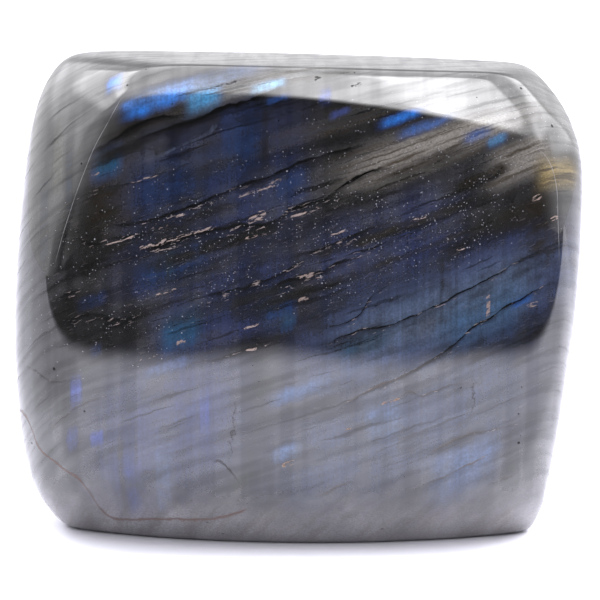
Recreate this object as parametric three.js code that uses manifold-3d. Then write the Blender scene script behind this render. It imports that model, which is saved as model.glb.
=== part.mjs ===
// Polished labradorite freeform: one solid stone, ground to a rounded block with a flat to stand on.
// Units are millimetres. +X runs along the longest side, the show face looks along -Y, +Z is up.
import * as THREE from "three";
import { mergeVertices } from "three/addons/utils/BufferGeometryUtils.js";
import Module from "manifold-3d";

// Height of the grinding centre above the resting flat. Every ground face is measured from this centre.
const CENTRE_HEIGHT = 48;
// Squares along one edge of the cube that the surface grid starts from.
const GRID_STEPS = 28;
// Hand polishing leaves the faces a little wavy: height of the waves, and how closely they follow each other.
const WAVE_HEIGHT = 0.03;
const WAVE_RATE = 5;

// The ground faces. Each one is a shallow dome.
// turn: degrees round the stone, 0 is the front and 90 the right side. lean: degrees above level.
// reach: distance of the dome's crown from the centre. dome: radius of the dome.
// edge: width of the rounded edge that joins the face to the faces listed before it.
const GROUND_FACES = [
  { name: "front", turn: 0, lean: 2, reach: 29, dome: 700, edge: 0 },
  { name: "top bevel", turn: 3, lean: 32.5, reach: 45.6, dome: 300, edge: 1 },
  { name: "top", turn: 90, lean: 88.4, reach: 47.6, dome: 2500, edge: 2 },
  { name: "upper left", turn: -26.5, lean: 57, reach: 57.4, dome: 130, edge: 4 },
  { name: "left front", turn: -28.5, lean: 4.5, reach: 48.3, dome: 110, edge: 6 },
  { name: "right front", turn: 24, lean: -2.5, reach: 51.1, dome: 120, edge: 4 },
  { name: "right shoulder", turn: 68, lean: 52, reach: 64.7, dome: 120, edge: 4 },
  { name: "back", turn: 178, lean: 4, reach: 26, dome: 420, edge: 7 },
  { name: "back left", turn: -135, lean: 3, reach: 52, dome: 120, edge: 8 },
  { name: "back right", turn: 140, lean: -4, reach: 50.5, dome: 120, edge: 8 },
  { name: "left", turn: -88, lean: 3.6, reach: 54.1, dome: 400, edge: 9 },
  { name: "right", turn: 92, lean: -4.8, reach: 55.7, dome: 500, edge: 9 },
  { name: "top back", turn: 180, lean: 44, reach: 46.4, dome: 300, edge: 10 },
  { name: "right chamfer", turn: 96, lean: 28.4, reach: 72.7, dome: 130, edge: 10 },
  { name: "left chamfer", turn: -86, lean: 46.5, reach: 69.7, dome: 100, edge: 14 },
  { name: "left foot", turn: -85, lean: -23, reach: 65, dome: 150, edge: 10 },
  { name: "left toe", turn: -85, lean: -50, reach: 69.5, dome: 90, edge: 14 },
  { name: "right toe", turn: 88, lean: -50, reach: 77.6, dome: 90, edge: 14 },
  { name: "front toe", turn: -2.7, lean: -41.6, reach: 44.1, dome: 200, edge: 5 },
  { name: "back toe", turn: 180, lean: -48, reach: 50, dome: 200, edge: 8 },
  { name: "base", turn: 0, lean: -90, reach: 48.6, dome: 2000, edge: 3 },
];

// Direction that a face looks in.
function facing(turn, lean) {
  const a = THREE.MathUtils.degToRad(turn);
  const e = THREE.MathUtils.degToRad(lean);
  return new THREE.Vector3(Math.sin(a) * Math.cos(e), -Math.cos(a) * Math.cos(e), Math.sin(e));
}

// Distance from the centre to a dome, along a unit direction. A direction that misses the dome gets a far value.
function domeDistance(face, direction) {
  const along = (face.reach - face.dome) * direction.dot(face.normal);
  const inside = along * along + face.dome * face.dome - (face.reach - face.dome) ** 2;
  return inside > 0 ? along + Math.sqrt(inside) : 1000;
}

// The smaller of two distances, with the corner between them rounded over the given width.
function roundedMinimum(a, b, width) {
  if (width === 0) return Math.min(a, b);
  const h = Math.max(width - Math.abs(a - b), 0) / width;
  return Math.min(a, b) - (h * h * h * width) / 6;
}

// Low waves over the whole surface, so the polished faces aren't perfectly even.
function wave(d) {
  const first = Math.sin(WAVE_RATE * d.x + 1) * Math.sin(WAVE_RATE * d.z + 2);
  const second = Math.sin(WAVE_RATE * d.y + 3) * Math.sin(WAVE_RATE * d.x - WAVE_RATE * d.z);
  return WAVE_HEIGHT * (first + second);
}

const faces = GROUND_FACES.map((face) => ({ ...face, normal: facing(face.turn, face.lean) }));

// Distance from the centre to the stone's surface, along a unit direction.
function surfaceDistance(direction) {
  let distance = 1000;
  for (const face of faces) {
    distance = roundedMinimum(distance, domeDistance(face, direction), face.edge);
  }
  return distance + wave(direction);
}

// A box with only its corner points and triangles, its shared points joined.
function bareBox(size, steps) {
  const box = new THREE.BoxGeometry(size, size, size, steps, steps, steps);
  box.deleteAttribute("normal");
  box.deleteAttribute("uv");
  return mergeVertices(box);
}

// The grid spans all directions: each point of a divided cube is moved in or out to the stone's surface.
// The tangent spreads the points evenly over the directions.
function moveToSurface(grid) {
  const points = grid.getAttribute("position");
  for (let n = 0; n < points.count; n++) {
    const direction = new THREE.Vector3().fromBufferAttribute(points, n);
    direction.set(...direction.toArray().map((v) => Math.tan((v * Math.PI) / 4))).normalize();
    const point = direction.clone().multiplyScalar(surfaceDistance(direction));
    points.setXYZ(n, point.x, point.y, point.z + CENTRE_HEIGHT);
  }
}

// Each square of the grid is split along the diagonal that lies further out, so a ridge stays a ridge.
function splitSquares(grid) {
  const points = grid.getAttribute("position");
  const centre = new THREE.Vector3(0, 0, CENTRE_HEIGHT);
  const corner = (n) => new THREE.Vector3().fromBufferAttribute(points, n);
  const middleReach = (m, n) => corner(m).add(corner(n)).multiplyScalar(0.5).distanceTo(centre);
  const index = grid.getIndex().array;
  const triangles = [];
  for (let n = 0; n < index.length; n += 6) {
    const [a, b, d, , c] = index.slice(n, n + 6);
    if (middleReach(b, d) > middleReach(a, c)) {
      triangles.push(a, b, d, b, c, d);
    } else {
      triangles.push(a, b, c, a, c, d);
    }
  }
  grid.setIndex(triangles);
}

const wasm = await Module();
wasm.setup();

function toSolid(geometry) {
  const vertProperties = new Float32Array(geometry.getAttribute("position").array);
  const triVerts = new Uint32Array(geometry.getIndex().array);
  return new wasm.Manifold(new wasm.Mesh({ numProp: 3, vertProperties, triVerts }));
}

function toGeometry(solid) {
  const mesh = solid.getMesh();
  const geometry = new THREE.BufferGeometry();
  geometry.setAttribute("position", new THREE.BufferAttribute(new Float32Array(mesh.vertProperties), 3));
  geometry.setIndex(new THREE.BufferAttribute(new Uint32Array(mesh.triVerts), 1));
  return geometry;
}

// The stone, and the block below the floor that cuts its resting flat.
const grid = bareBox(2, GRID_STEPS);
moveToSurface(grid);
splitSquares(grid);
const FLOOR_BLOCK = 200;
const block = bareBox(FLOOR_BLOCK, 1).translate(0, 0, -FLOOR_BLOCK / 2);
const stone = toSolid(grid).subtract(toSolid(block));

// The origin sits on the resting flat, below the middle of the stone.
const geometry = toGeometry(stone);
geometry.computeBoundingBox();
const middle = geometry.boundingBox.getCenter(new THREE.Vector3());
geometry.translate(-middle.x, -middle.y, 0);

const material = new THREE.MeshStandardMaterial({ color: 0x3a4152, roughness: 0.15, metalness: 0 });
material.name = "polished_labradorite";
const mesh = new THREE.Mesh(geometry, material);
mesh.name = "labradorite_stone";

const part = new THREE.Group();
part.name = "labradorite_freeform";
part.add(mesh);
export default part;
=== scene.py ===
# %% [markdown]
# # A polished labradorite freeform
# Labradorite is a dark feldspar. Thin layers inside it throw back blue light, and black cracks and veins
# cross it. This stone was sawn, ground into shallow faces and polished by hand, with a flat to stand on.
# The lesson builds it in Blender: first the frame and the camera, then the ground form, the stone's pattern
# and the light.

# %% The frame
import math
import bpy
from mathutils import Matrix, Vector
from mathutils.bvhtree import BVHTree


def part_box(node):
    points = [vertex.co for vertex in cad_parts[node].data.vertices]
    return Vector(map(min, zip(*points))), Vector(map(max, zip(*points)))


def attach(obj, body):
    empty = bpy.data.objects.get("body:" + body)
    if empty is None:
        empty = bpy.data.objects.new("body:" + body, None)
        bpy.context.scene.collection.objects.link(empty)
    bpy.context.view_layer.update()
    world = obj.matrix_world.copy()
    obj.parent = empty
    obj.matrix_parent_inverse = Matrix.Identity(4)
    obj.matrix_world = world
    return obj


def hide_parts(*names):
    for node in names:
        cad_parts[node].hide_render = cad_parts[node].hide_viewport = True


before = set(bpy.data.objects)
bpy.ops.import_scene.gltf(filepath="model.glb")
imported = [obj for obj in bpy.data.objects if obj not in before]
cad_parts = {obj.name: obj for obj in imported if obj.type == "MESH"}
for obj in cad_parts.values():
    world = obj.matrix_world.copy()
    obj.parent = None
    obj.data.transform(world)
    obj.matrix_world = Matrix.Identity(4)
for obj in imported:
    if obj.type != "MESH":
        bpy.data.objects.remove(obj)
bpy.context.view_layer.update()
STONE_NODE = "labradorite_stone"
node_low, node_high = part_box(STONE_NODE)
print("solid from", tuple(round(v, 4) for v in node_low), "to", tuple(round(v, 4) for v in node_high))

# %% [markdown]
# ## Camera
# The photograph was taken from a little above the middle of the stone, straight in front of its large face.
# A long lens keeps the outline nearly parallel. The aim point and the distance were found by laying the
# outline of the solid over the outline in the photograph.

# %% Camera
MM = 0.001
PICTURE_SIZE = 600
LENS = 135.0
SENSOR = 36.0
VIEW_DISTANCE = 452 * MM
VIEW_RISE = math.radians(11)
AIM = Vector((1.2, 0, 46.9)) * MM

toward_camera = Vector((0, -math.cos(VIEW_RISE), math.sin(VIEW_RISE)))
camera_data = bpy.data.cameras.new("camera")
camera_data.lens = LENS
camera_data.sensor_width = SENSOR
camera = bpy.data.objects.new("camera", camera_data)
camera.location = AIM + toward_camera * VIEW_DISTANCE
camera.rotation_euler = (-toward_camera).to_track_quat("-Z", "Y").to_euler()
bpy.context.scene.collection.objects.link(camera)
bpy.context.scene.camera = camera
bpy.context.scene.view_settings.view_transform = "Standard"
print("camera at", tuple(round(v, 3) for v in camera.location))

# %% [markdown]
# ## Small helpers for nodes
# Every tree below is built from the same few moves: add a node, fill its inputs, take one output. An input
# can be a plain value or the output of another node, so one helper looks after both. The others name the
# moves that come back most often: a sum, a product, a distance, a soft step, a noise and a mix of two
# colours.

# %% Node helpers
def add_node(tree, kind, inputs=None, **settings):
    node = tree.nodes.new(kind)
    for name, value in settings.items():
        setattr(node, name, value)
    for name, value in (inputs or {}).items():
        if isinstance(value, bpy.types.NodeSocket):
            tree.links.new(value, node.inputs[name])
        else:
            node.inputs[name].default_value = value
    return node


def calc(tree, operation, a, b=None, c=None):
    values = {n: v for n, v in enumerate((a, b, c)) if v is not None}
    return add_node(tree, "ShaderNodeMath", values, operation=operation).outputs[0]


def product(tree, first, *others):
    for value in others:
        first = calc(tree, "MULTIPLY", first, value)
    return first


def away_from(tree, value, centre):
    return calc(tree, "ABSOLUTE", calc(tree, "SUBTRACT", value, centre))


def vector_calc(tree, operation, a, b=None, scale=None):
    values = {n: v for n, v in enumerate((a, b)) if v is not None}
    if scale is not None:
        values["Scale"] = scale
    node = add_node(tree, "ShaderNodeVectorMath", values, operation=operation)
    return node.outputs["Value" if operation in ("DOT_PRODUCT", "LENGTH") else "Vector"]


def smooth_step(tree, value, low, high, to_low=0.0, to_high=1.0):
    values = {"Value": value, "From Min": low, "From Max": high, "To Min": to_low, "To Max": to_high}
    return add_node(tree, "ShaderNodeMapRange", values, interpolation_type="SMOOTHSTEP").outputs["Result"]


def noise(tree, spot, scale, detail, roughness):
    values = {"Vector": spot, "Scale": scale, "Detail": detail, "Roughness": roughness}
    return add_node(tree, "ShaderNodeTexNoise", values).outputs["Fac"]


# The colour sockets of a mix node share their names with hidden ones, so they are found by number.
def mix_colours(tree, factor, first, second, **settings):
    values = {"Factor": factor, 6: first, 7: second}
    return add_node(tree, "ShaderNodeMix", values, data_type="RGBA", **settings).outputs[2]


# A socket of a group is given its kind by name, or a starting value that tells its kind.
SOCKET_KINDS = {float: "Float", int: "Int", tuple: "Color"}


def new_group(name, tree_kind, inputs, outputs):
    tree = bpy.data.node_groups.new(name, tree_kind)
    for side, sockets in (("INPUT", inputs), ("OUTPUT", outputs)):
        for socket_name, value in sockets.items():
            kind = value if isinstance(value, str) else SOCKET_KINDS[type(value)]
            socket = tree.interface.new_socket(name=socket_name, in_out=side, socket_type="NodeSocket" + kind)
            if kind != value:
                socket.default_value = value
    return tree, tree.nodes.new("NodeGroupInput").outputs, tree.nodes.new("NodeGroupOutput").inputs


# %% [markdown]
# ## The ground faces
# A wheel grinds each face into a shallow dome, and polishing rounds the edge between two domes. So the form
# follows a rule: in each direction from a point inside the stone, the surface lies at the nearest dome,
# with the corner between two domes smoothed. The same face values shape the solid, and here they shape a
# much finer surface.

# %% Face values
CENTRE_HEIGHT = 48 * MM
WAVE_HEIGHT = 0.03 * MM
WAVE_RATE = 5.0
GRID_STEPS = 126

# Each row: name, turn and lean in degrees, reach, dome radius and edge rounding in mm.
# Turn 0 is the front and turn 90 the right side.
GROUND_FACES = [
    ("front", 0, 2, 29, 700, 0),
    ("top bevel", 3, 32.5, 45.6, 300, 1),
    ("top", 90, 88.4, 47.6, 2500, 2),
    ("upper left", -26.5, 57, 57.4, 130, 4),
    ("left front", -28.5, 4.5, 48.3, 110, 6),
    ("right front", 24, -2.5, 51.1, 120, 4),
    ("right shoulder", 68, 52, 64.7, 120, 4),
    ("back", 178, 4, 26, 420, 7),
    ("back left", -135, 3, 52, 120, 8),
    ("back right", 140, -4, 50.5, 120, 8),
    ("left", -88, 3.6, 54.1, 400, 9),
    ("right", 92, -4.8, 55.7, 500, 9),
    ("top back", 180, 44, 46.4, 300, 10),
    ("right chamfer", 96, 28.4, 72.7, 130, 10),
    ("left chamfer", -86, 46.5, 69.7, 100, 14),
    ("left foot", -85, -23, 65, 150, 10),
    ("left toe", -85, -50, 69.5, 90, 14),
    ("right toe", 88, -50, 77.6, 90, 14),
    ("front toe", -2.7, -41.6, 44.1, 200, 5),
    ("back toe", 180, -48, 50, 200, 8),
    ("base", 0, -90, 48.6, 2000, 3),
]

# %% [markdown]
# ## One dome as a node group
# The group finds how far a ray from the centre runs before it meets one dome. Then it keeps the smaller of
# that and the distance found so far. The maths node's smooth minimum rounds the corner by the edge value. A
# ray that misses the dome gets a distance that no real face reaches.

# %% Node group for one ground face
FAR_AWAY = 10.0
face_group, given, result = new_group(
    "ground face", "GeometryNodeTree",
    {"Direction": "Vector", "Distance So Far": 1.0, "Turn": 0.0, "Lean": 0.0, "Reach": 0.05, "Dome": 0.4,
     "Edge": 0.0},
    {"Distance": "Float"})
turn = calc(face_group, "RADIANS", given["Turn"])
lean = calc(face_group, "RADIANS", given["Lean"])
level = calc(face_group, "COSINE", lean)
facing = add_node(face_group, "ShaderNodeCombineXYZ", {
    "X": calc(face_group, "MULTIPLY", calc(face_group, "SINE", turn), level),
    "Y": product(face_group, calc(face_group, "COSINE", turn), level, -1.0),
    "Z": calc(face_group, "SINE", lean)}).outputs[0]
offset = calc(face_group, "SUBTRACT", given["Reach"], given["Dome"])
toward = vector_calc(face_group, "DOT_PRODUCT", given["Direction"], facing)
along = calc(face_group, "MULTIPLY", offset, toward)
square_of_dome = calc(face_group, "MULTIPLY", given["Dome"], given["Dome"])
square_of_offset = calc(face_group, "MULTIPLY", offset, offset)
inside = calc(face_group, "ADD", calc(face_group, "MULTIPLY", along, along),
              calc(face_group, "SUBTRACT", square_of_dome, square_of_offset))
missed = calc(face_group, "MULTIPLY", calc(face_group, "LESS_THAN", inside, 0.0), FAR_AWAY)
root = calc(face_group, "SQRT", calc(face_group, "MAXIMUM", inside, 0.0))
own = calc(face_group, "ADD", calc(face_group, "ADD", along, root), missed)
nearest = calc(face_group, "SMOOTH_MIN", given["Distance So Far"], own, given["Edge"])
face_group.links.new(nearest, result["Distance"])
print("ground face group:", len(face_group.nodes), "nodes")

# %% [markdown]
# ## The whole stone as one tree
# A finely divided cube gives points in every direction, close together and without gaps. Each point moves
# to the distance that the chain of faces gives. Polishing by hand leaves low waves, so two crossed sine
# waves are added. The foot is cut flat at the floor.

# %% Tree of the stone
stone_tree, given, result = new_group(
    "ground stone", "GeometryNodeTree",
    {"Geometry": "Geometry", "Grid Steps": GRID_STEPS, "Centre Height": CENTRE_HEIGHT,
     "Wave Height": WAVE_HEIGHT, "Wave Rate": WAVE_RATE, "Material": "Material"},
    {"Geometry": "Geometry"})
points_per_side = calc(stone_tree, "ADD", given["Grid Steps"], 1.0)
counts = {"Vertices " + axis: points_per_side for axis in "XYZ"}
cube = add_node(stone_tree, "GeometryNodeMeshCube", {"Size": (2, 2, 2), **counts})
spot = add_node(stone_tree, "GeometryNodeInputPosition").outputs[0]
spread = vector_calc(stone_tree, "TANGENT", vector_calc(stone_tree, "SCALE", spot, scale=math.pi / 4))
direction = vector_calc(stone_tree, "NORMALIZE", spread)

distance = 1.0
for name, turn_deg, lean_deg, reach, dome, edge in GROUND_FACES:
    distance = add_node(stone_tree, "GeometryNodeGroup", {
        "Direction": direction, "Distance So Far": distance, "Turn": turn_deg, "Lean": lean_deg,
        "Reach": reach * MM, "Dome": dome * MM, "Edge": edge * MM},
        node_tree=face_group, label=name).outputs["Distance"]

# %% Waves, flat foot and centring
ray = add_node(stone_tree, "ShaderNodeSeparateXYZ", {0: direction}).outputs


def sine_of(value, shift):
    return calc(stone_tree, "SINE", calc(stone_tree, "ADD", calc(
        stone_tree, "MULTIPLY", value, given["Wave Rate"]), float(shift)))


first_wave = calc(stone_tree, "MULTIPLY", sine_of(ray[0], 1), sine_of(ray[2], 2))
second_wave = calc(stone_tree, "MULTIPLY", sine_of(ray[1], 3), sine_of(
    calc(stone_tree, "SUBTRACT", ray[0], ray[2]), 0))
wave = calc(stone_tree, "MULTIPLY", calc(stone_tree, "ADD", first_wave, second_wave), given["Wave Height"])
polished = vector_calc(stone_tree, "SCALE", direction, scale=calc(stone_tree, "ADD", distance, wave))
reached = add_node(stone_tree, "ShaderNodeSeparateXYZ", {0: polished}).outputs
height = calc(stone_tree, "MAXIMUM", calc(stone_tree, "ADD", reached[2], given["Centre Height"]), 0.0)
place = add_node(stone_tree, "ShaderNodeCombineXYZ", {0: reached[0], 1: reached[1], 2: height}).outputs[0]
moved = {"Geometry": cube.outputs["Mesh"], "Position": place}
ground = add_node(stone_tree, "GeometryNodeSetPosition", moved)

box = add_node(stone_tree, "GeometryNodeBoundBox", {"Geometry": ground.outputs[0]}).outputs
middle = vector_calc(stone_tree, "SCALE", vector_calc(stone_tree, "ADD", box["Min"], box["Max"]), scale=-0.5)
shift = vector_calc(stone_tree, "MULTIPLY", middle, (1, 1, 0))
shifted = {"Geometry": ground.outputs[0], "Offset": shift}
centred = add_node(stone_tree, "GeometryNodeSetPosition", shifted).outputs[0]
smooth = add_node(stone_tree, "GeometryNodeSetShadeSmooth", {"Geometry": centred}).outputs[0]
whole = add_node(stone_tree, "GeometryNodeRealizeInstances", {"Geometry": smooth}).outputs[0]
finished = add_node(stone_tree, "GeometryNodeSetMaterial", {"Geometry": whole, "Material": given["Material"]})
stone_tree.links.new(finished.outputs[0], result["Geometry"])
print("stone tree:", len(stone_tree.nodes), "nodes for", len(GROUND_FACES), "faces")

# %% [markdown]
# ## Make the stone
# The tree is run once on an empty object, and its result is kept as a plain mesh. The material is begun
# here with the values that are the same all over. A clear coat stands for the mirror polish, and the stone
# below it has hardly any shine of its own, so its dark parts stay dark.

# %% Make the stone
stone_material = bpy.data.materials.new("polished labradorite")
stone_material.use_nodes = True
stone = stone_material.node_tree
surface = stone.nodes["Principled BSDF"]
FINISH = {"IOR": 1.57, "Specular IOR Level": 0.06, "Coat Roughness": 0.03, "Coat IOR": 1.75}
for socket, value in FINISH.items():
    surface.inputs[socket].default_value = value

stone_object = bpy.data.objects.new("labradorite_surface", bpy.data.meshes.new("starting cube"))
bpy.context.scene.collection.objects.link(stone_object)
shaper = stone_object.modifiers.new("ground stone", "NODES")
shaper.node_group = stone_tree
socket_of = {item.name: item.identifier for item in stone_tree.interface.items_tree if item.in_out == "INPUT"}
shaper[socket_of["Material"]] = stone_material
shaper[socket_of["Grid Steps"]] = GRID_STEPS
bpy.context.view_layer.update()
evaluated = stone_object.evaluated_get(bpy.context.evaluated_depsgraph_get())
stone_mesh = bpy.data.meshes.new_from_object(evaluated)
stone_mesh.name = "labradorite surface"
stone_object.modifiers.remove(shaper)
stone_object.data = stone_mesh
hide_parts(STONE_NODE)
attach(stone_object, "root")
print("stone surface:", len(stone_mesh.vertices), "points,", len(stone_mesh.polygons), "squares")

# %% [markdown]
# ## Where the markings lie
# The cracks follow the crystal's cleavage planes. These rise to the right across the front and dip through
# the stone, so two measures place every marking: across, in millimetres along the front, and layer, which
# counts up through the planes. A marking is read off the picture as a column and a row. A sight line from
# the camera finds the spot on the stone, and from there on the marking belongs to the stone and stays where
# it is in every view.

# %% From a point in the picture to the stone
RISE = 0.32
CURL = 0.0022
CURL_START = 4.0
DIP = 0.69
FRONT_Y = -28.0
FOCAL = LENS / SENSOR * PICTURE_SIZE
PIXEL = (VIEW_DISTANCE / MM + FRONT_Y) / FOCAL
PICTURE_RIGHT = Vector((1, 0, 0))
PICTURE_UP = toward_camera.cross(PICTURE_RIGHT)
corners = [vertex.co for vertex in stone_mesh.vertices]
sight_tree = BVHTree.FromPolygons(corners, [polygon.vertices for polygon in stone_mesh.polygons])


# A place on the stone in millimetres.
def place_on_stone(column, row):
    right = (column - PICTURE_SIZE / 2) / FOCAL
    up = (PICTURE_SIZE / 2 - row) / FOCAL
    sight = PICTURE_RIGHT * right + PICTURE_UP * up - toward_camera
    hit = sight_tree.ray_cast(camera.location, sight)[0]
    if hit is None:
        raise ValueError(f"the sight line at {column}, {row} misses the stone")
    return hit / MM


# The same place as across and layer.
def on_stone(column, row):
    x, y, z = place_on_stone(column, row)
    return x, z - RISE * x - CURL * max(x - CURL_START, 0) ** 2 + DIP * (y - FRONT_Y)


print("middle of the picture, across and layer in mm:", tuple(round(v, 1) for v in on_stone(300, 300)))
print("one pixel on the front face is", round(PIXEL, 3), "mm")

# %% Node group for layer coordinates
TREMBLE = 1.2
TREMBLE_SCALE = 0.4
layer_group, given, result = new_group(
    "cleavage layers", "ShaderNodeTree",
    {"Position": "Vector", "Rise": RISE, "Curl": CURL, "Curl Start": CURL_START, "Dip": DIP, "Front": FRONT_Y,
     "Tremble": TREMBLE},
    {"Across": "Float", "Layer": "Float", "Millimetres": "Vector"})
millimetres = vector_calc(layer_group, "SCALE", given["Position"], scale=1 / MM)
axes = add_node(layer_group, "ShaderNodeSeparateXYZ", {0: millimetres}).outputs
quick = noise(layer_group, millimetres, TREMBLE_SCALE, 5.0, 0.6)
tremble = calc(layer_group, "MULTIPLY", calc(layer_group, "SUBTRACT", quick, 0.5), given["Tremble"])
past_start = calc(layer_group, "MAXIMUM", calc(layer_group, "SUBTRACT", axes[0], given["Curl Start"]), 0.0)
curled = product(layer_group, past_start, past_start, given["Curl"])
risen = calc(layer_group, "MULTIPLY", axes[0], given["Rise"])
sloped = calc(layer_group, "SUBTRACT", calc(layer_group, "SUBTRACT", axes[2], risen), curled)
depth = calc(layer_group, "MULTIPLY", calc(layer_group, "SUBTRACT", axes[1], given["Front"]), given["Dip"])
layer = calc(layer_group, "ADD", calc(layer_group, "ADD", sloped, depth), tremble)
across = calc(layer_group, "ADD", axes[0], calc(layer_group, "MULTIPLY", tremble, 0.5))
for measure, value in (("Across", across), ("Layer", layer), ("Millimetres", millimetres)):
    layer_group.links.new(value, result[measure])

# %% The layers in the material
position = add_node(stone, "ShaderNodeTexCoord").outputs["Object"]
layers = add_node(stone, "ShaderNodeGroup", {"Position": position}, node_tree=layer_group).outputs
across, layer, millimetres = layers["Across"], layers["Layer"], layers["Millimetres"]
plain = add_node(stone, "ShaderNodeSeparateXYZ", {0: millimetres}).outputs


def stretched_noise(along, through, detail=3.0, roughness=0.55):
    spot = add_node(stone, "ShaderNodeCombineXYZ", {
        "X": calc(stone, "MULTIPLY", across, along), "Y": calc(stone, "MULTIPLY", plain[1], along),
        "Z": calc(stone, "MULTIPLY", layer, through)}).outputs[0]
    return noise(stone, spot, 1.0, detail, roughness)


print("layers rise", RISE, "mm for each mm across and dip", DIP, "mm for each mm of depth")

# %% [markdown]
# ## One mark after another
# The renderer works with little memory for one material. Each mark therefore hands the two coordinates on
# to the next marks, with a change far too small to see, and the renderer has to finish one mark before it
# starts those. Every third mark is enough for that, and each step that is left out makes the picture
# quicker.

# %% Handing the coordinates on
TINY = 1e-7
HAND_ON_EVERY = 3


def hand_on(tree, mask, given, result):
    for measure in ("Across", "Layer"):
        tree.links.new(calc(tree, "MULTIPLY_ADD", mask, TINY, given[measure]), result[measure])


# %% [markdown]
# ## Cracks and veins
# Dark veins run through the stone where it cracked and healed along its layers. Each one has a thin black
# core with a smoky shade, which lies mostly below it. A Float Curve holds the line of each vein, drawn
# through points read off the picture, and one node group turns the distance from that line into core and
# shade. Noise makes the vein swell, thin out and break.

# %% Node group for one vein
START_FADE = 4.0
END_FADE = 7.0
SHADE_ABOVE = 4.0
vein_group, given, result = new_group(
    "vein", "ShaderNodeTree",
    {"Across": 0.0, "Layer": 0.0, "Line": 0.0, "Swell": 0.5, "Start": -60.0, "End": 60.0, "Half Width": 0.3,
     "Shade Width": 2.0, "Depth": 1.0, "Core So Far": 0.0, "Shade So Far": 0.0},
    {"Core": "Float", "Shade": "Float", "Across": "Float", "Layer": "Float"})
above = calc(vein_group, "SUBTRACT", given["Layer"], given["Line"])
gap = calc(vein_group, "ABSOLUTE", above)
below = calc(vein_group, "MULTIPLY", above, -1.0)
shade_gap = calc(vein_group, "MAXIMUM", calc(vein_group, "MULTIPLY", above, SHADE_ABOVE), below)
swell = smooth_step(vein_group, given["Swell"], 0.32, 0.66, 0.15, 1.8)
half_width = product(vein_group, given["Half Width"], 0.8, swell)
core = smooth_step(vein_group, gap, calc(vein_group, "MULTIPLY", half_width, 0.4), half_width, 1.0, 0.0)
half_shade = calc(vein_group, "MULTIPLY", given["Shade Width"], 0.5)
shade_reach = calc(vein_group, "MULTIPLY_ADD", swell, half_shade, half_shade)
shade = smooth_step(vein_group, shade_gap, 0.0, shade_reach, 1.0, 0.0)
shade = calc(vein_group, "MULTIPLY", shade, shade)
full_from = calc(vein_group, "ADD", given["Start"], START_FADE)
full_to = calc(vein_group, "SUBTRACT", given["End"], END_FADE)
entered = smooth_step(vein_group, given["Across"], given["Start"], full_from)
left_behind = smooth_step(vein_group, given["Across"], full_to, given["End"], given["Depth"], 0.0)
present = calc(vein_group, "MULTIPLY", entered, left_behind)
for name, mask in (("Core", core), ("Shade", shade)):
    shown = calc(vein_group, "MULTIPLY", mask, present)
    vein_group.links.new(calc(vein_group, "MAXIMUM", given[name + " So Far"], shown), result[name])
hand_on(vein_group, core, given, result)
print("vein group:", len(vein_group.nodes), "nodes")

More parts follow.
